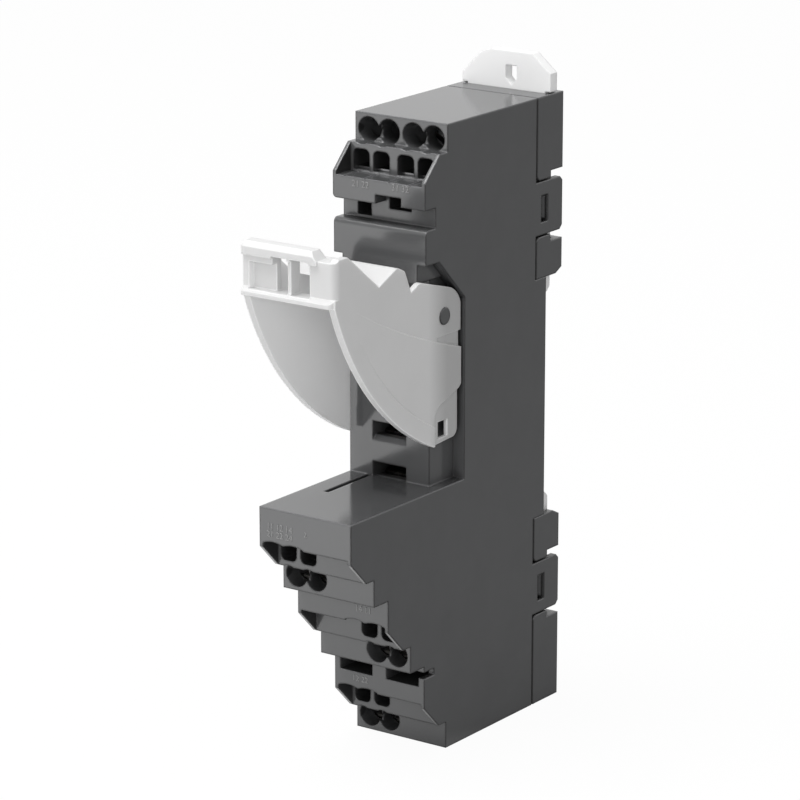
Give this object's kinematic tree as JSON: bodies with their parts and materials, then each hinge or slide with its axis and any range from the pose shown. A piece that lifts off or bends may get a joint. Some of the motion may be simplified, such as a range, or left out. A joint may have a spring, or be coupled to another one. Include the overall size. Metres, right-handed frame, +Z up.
{
  "type": "relay socket",
  "caption": "Slim rail-mounted relay socket with stepped push-in terminals, blade slots and a swinging white release lever.",
  "frame": {"origin": "middle of the rail seat, the flat back of the recess that lies against the face of a 35 mm rail", "axes": "+Z up the length of the socket to the end with the screw tab, +Y back into the rail, +X across its width, to the right when seen from the front"},
  "size_m": [0.0154, 0.0546, 0.0954],
  "materials": {
    "black_plastic": "moulded, softly glossy",
    "white_plastic": "moulded, satin",
    "tinned_copper": "tin-plated copper alloy strip",
    "spring_steel": "bright stainless spring strip"
  },
  "bodies": {
    "socket": {"housing": "black_plastic", "rear_base": "black_plastic", "closed_contact_bar": "tinned_copper", "open_contact_bar": "tinned_copper", "common_contact_bar": "tinned_copper", "coil_left_bar": "tinned_copper", "coil_right_bar": "tinned_copper", "closed_contact_clip": "tinned_copper", "open_contact_clip": "tinned_copper", "common_contact_clip": "tinned_copper", "coil_left_clip": "tinned_copper", "coil_right_clip": "tinned_copper", "closed_contact_spring_1": "spring_steel", "closed_contact_spring_2": "spring_steel", "open_contact_spring_1": "spring_steel", "open_contact_spring_2": "spring_steel", "common_contact_spring_1": "spring_steel", "common_contact_spring_2": "spring_steel", "coil_left_spring_1": "spring_steel", "coil_left_spring_2": "spring_steel", "coil_right_spring_1": "spring_steel", "coil_right_spring_2": "spring_steel"},
    "lever": {"release_lever": "white_plastic"},
    "upper_hook": {"upper_rail_hook": "white_plastic"},
    "lower_hook": {"lower_rail_hook": "white_plastic"}
  },
  "joints": [
    {"name": "lever_swing", "type": "hinge", "parent": "socket", "child": "lever", "pos_m": [0, -0.02465, 0.017], "axis": [-1, 0, 0], "range_deg": [0, 24]},
    {"name": "upper_hook_slide", "type": "slide", "parent": "socket", "child": "upper_hook", "axis": [0, 0, 1], "range_m": [0, 0.0032]},
    {"name": "lower_hook_slide", "type": "slide", "parent": "socket", "child": "lower_hook", "axis": [0, 0, -1], "range_m": [0, 0.0032]}
  ]
}
